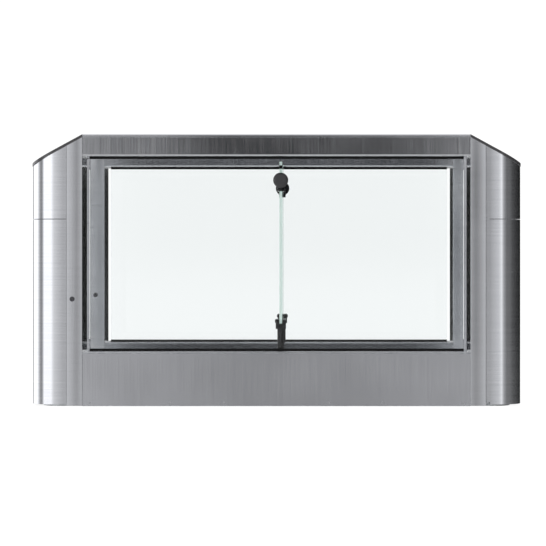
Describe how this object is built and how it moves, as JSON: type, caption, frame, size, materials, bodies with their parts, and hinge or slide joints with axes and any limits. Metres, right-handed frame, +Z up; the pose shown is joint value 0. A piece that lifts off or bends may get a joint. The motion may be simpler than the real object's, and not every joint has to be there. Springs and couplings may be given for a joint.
{
  "type": "swing gate lane",
  "caption": "Walk-through access lane between stainless cabinets with half-round ends, sloped dark caps, clear infill panes and motor-driven glass swing leaves",
  "frame": {"origin": "On the floor, midway between the two cabinets and midway along them: the centre of the underside of the whole lane.", "axes": "+Z is up. X runs along the lane, the way people walk, with the entry end at -X and the exit end at +X. Y runs across the lane: cabinet a is at -Y and cabinet b at +Y."},
  "size_m": [1.814, 0.974, 1],
  "materials": {
    "brushed_stainless": "fine brushed stainless steel",
    "zinc_steel": "zinc-plated steel",
    "black_hardware": "satin black",
    "cap_black": "dark grey, half gloss",
    "clear_glass": "clear toughened glass",
    "black_rubber": "matt black",
    "lock_chrome": "nickel-plated",
    "fastener_steel": "stainless fasteners",
    "pulley_aluminium": "machined or extruded",
    "bearing_steel": "ground steel",
    "module_plastic": "moulded housing",
    "module_metal": "painted housing"
  },
  "bodies": {
    "cabinets": {"a_exit_post": "brushed_stainless", "a_exit_upper_shell": "brushed_stainless", "a_entry_post": "brushed_stainless", "a_entry_upper_shell": "brushed_stainless", "a_caps": "cap_black", "a_top_beam": "brushed_stainless", "a_side_panels": "brushed_stainless", "a_infill_glass": "clear_glass", "b_exit_post": "brushed_stainless", "b_exit_upper_shell": "brushed_stainless", "b_entry_post": "brushed_stainless", "b_entry_upper_shell": "brushed_stainless", "b_caps": "cap_black", "b_top_beam": "brushed_stainless", "b_side_panels": "brushed_stainless", "b_infill_glass": "clear_glass", "top_plates": "brushed_stainless", "lower_covers": "brushed_stainless", "frame_rails": "zinc_steel", "floor_channels": "zinc_steel", "panel_screws": "fastener_steel", "glass_channels": "pulley_aluminium", "glass_gaskets": "black_rubber", "base_plates": "zinc_steel", "cable_grommets": "black_rubber", "door_pivots": "zinc_steel", "lock_housings": "lock_chrome", "reader_modules": "module_plastic", "control_boxes": "module_plastic", "power_supplies": "module_metal", "drive_brackets": "zinc_steel", "leaf_bearings": "bearing_steel", "gearmotors": "module_metal", "drive_belts": "black_rubber", "pivot_arms": "black_hardware", "pivot_discs": "black_hardware", "pivot_pins": "bearing_steel"},
    "a_exit_door_body": {"a_exit_door": "brushed_stainless"},
    "a_exit_lock_body": {"a_exit_lock": "lock_chrome"},
    "a_entry_door_body": {"a_entry_door": "brushed_stainless"},
    "a_entry_lock_body": {"a_entry_lock": "lock_chrome"},
    "a_leaf": {"a_leaf_post": "black_hardware", "a_leaf_clamp": "black_hardware", "a_leaf_glass": "clear_glass", "a_leaf_hinge": "black_hardware", "a_leaf_fixings": "fastener_steel", "a_leaf_pulley": "pulley_aluminium"},
    "a_motor_shaft": {"a_motor_pulley": "pulley_aluminium"},
    "b_exit_door_body": {"b_exit_door": "brushed_stainless"},
    "b_exit_lock_body": {"b_exit_lock": "lock_chrome"},
    "b_entry_door_body": {"b_entry_door": "brushed_stainless"},
    "b_entry_lock_body": {"b_entry_lock": "lock_chrome"},
    "b_leaf": {"b_leaf_post": "black_hardware", "b_leaf_clamp": "black_hardware", "b_leaf_glass": "clear_glass", "b_leaf_hinge": "black_hardware", "b_leaf_fixings": "fastener_steel", "b_leaf_pulley": "pulley_aluminium"},
    "b_motor_shaft": {"b_motor_pulley": "pulley_aluminium"}
  },
  "joints": [
    {"name": "a_exit_door_swing", "type": "hinge", "parent": "cabinets", "child": "a_exit_door_body", "pos_m": [0.777, -0.479, 0.35], "axis": [0, 0, -1], "range_deg": [0, 95]},
    {"name": "a_exit_lock_turn", "type": "hinge", "parent": "cabinets", "child": "a_exit_lock_body", "pos_m": [0.751, -0.325, 0.394], "axis": [0, 1, 0], "range_deg": [0, 90]},
    {"name": "a_entry_door_swing", "type": "hinge", "parent": "cabinets", "child": "a_entry_door_body", "pos_m": [-0.777, -0.331, 0.35], "axis": [0, 0, -1], "range_deg": [0, 95]},
    {"name": "a_entry_lock_turn", "type": "hinge", "parent": "cabinets", "child": "a_entry_lock_body", "pos_m": [-0.751, -0.485, 0.394], "axis": [0, -1, 0], "range_deg": [0, 90]},
    {"name": "a_leaf_swing", "type": "hinge", "parent": "cabinets", "child": "a_leaf", "pos_m": [0.015, -0.36, 0.3], "axis": [0, 0, 1], "range_deg": [-90, 90]},
    {"name": "a_motor_turn", "type": "hinge", "parent": "cabinets", "child": "a_motor_shaft", "pos_m": [-0.1, -0.36, 0.15], "axis": [0, 0, 1], "range_deg": [-180, 180]},
    {"name": "b_exit_door_swing", "type": "hinge", "parent": "cabinets", "child": "b_exit_door_body", "pos_m": [0.777, 0.331, 0.35], "axis": [0, 0, -1], "range_deg": [0, 95]},
    {"name": "b_exit_lock_turn", "type": "hinge", "parent": "cabinets", "child": "b_exit_lock_body", "pos_m": [0.751, 0.485, 0.394], "axis": [0, 1, 0], "range_deg": [0, 90]},
    {"name": "b_entry_door_swing", "type": "hinge", "parent": "cabinets", "child": "b_entry_door_body", "pos_m": [-0.777, 0.479, 0.35], "axis": [0, 0, -1], "range_deg": [0, 95]},
    {"name": "b_entry_lock_turn", "type": "hinge", "parent": "cabinets", "child": "b_entry_lock_body", "pos_m": [-0.751, 0.325, 0.394], "axis": [0, -1, 0], "range_deg": [0, 90]},
    {"name": "b_leaf_swing", "type": "hinge", "parent": "cabinets", "child": "b_leaf", "pos_m": [0.015, 0.36, 0.3], "axis": [0, 0, 1], "range_deg": [-90, 90]},
    {"name": "b_motor_turn", "type": "hinge", "parent": "cabinets", "child": "b_motor_shaft", "pos_m": [0.13, 0.36, 0.15], "axis": [0, 0, 1], "range_deg": [-180, 180]}
  ],
  "couplings": [
    {"joint": "a_motor_turn", "follows": "a_leaf_swing", "ratio": 2},
    {"joint": "b_motor_turn", "follows": "b_leaf_swing", "ratio": 2}
  ]
}
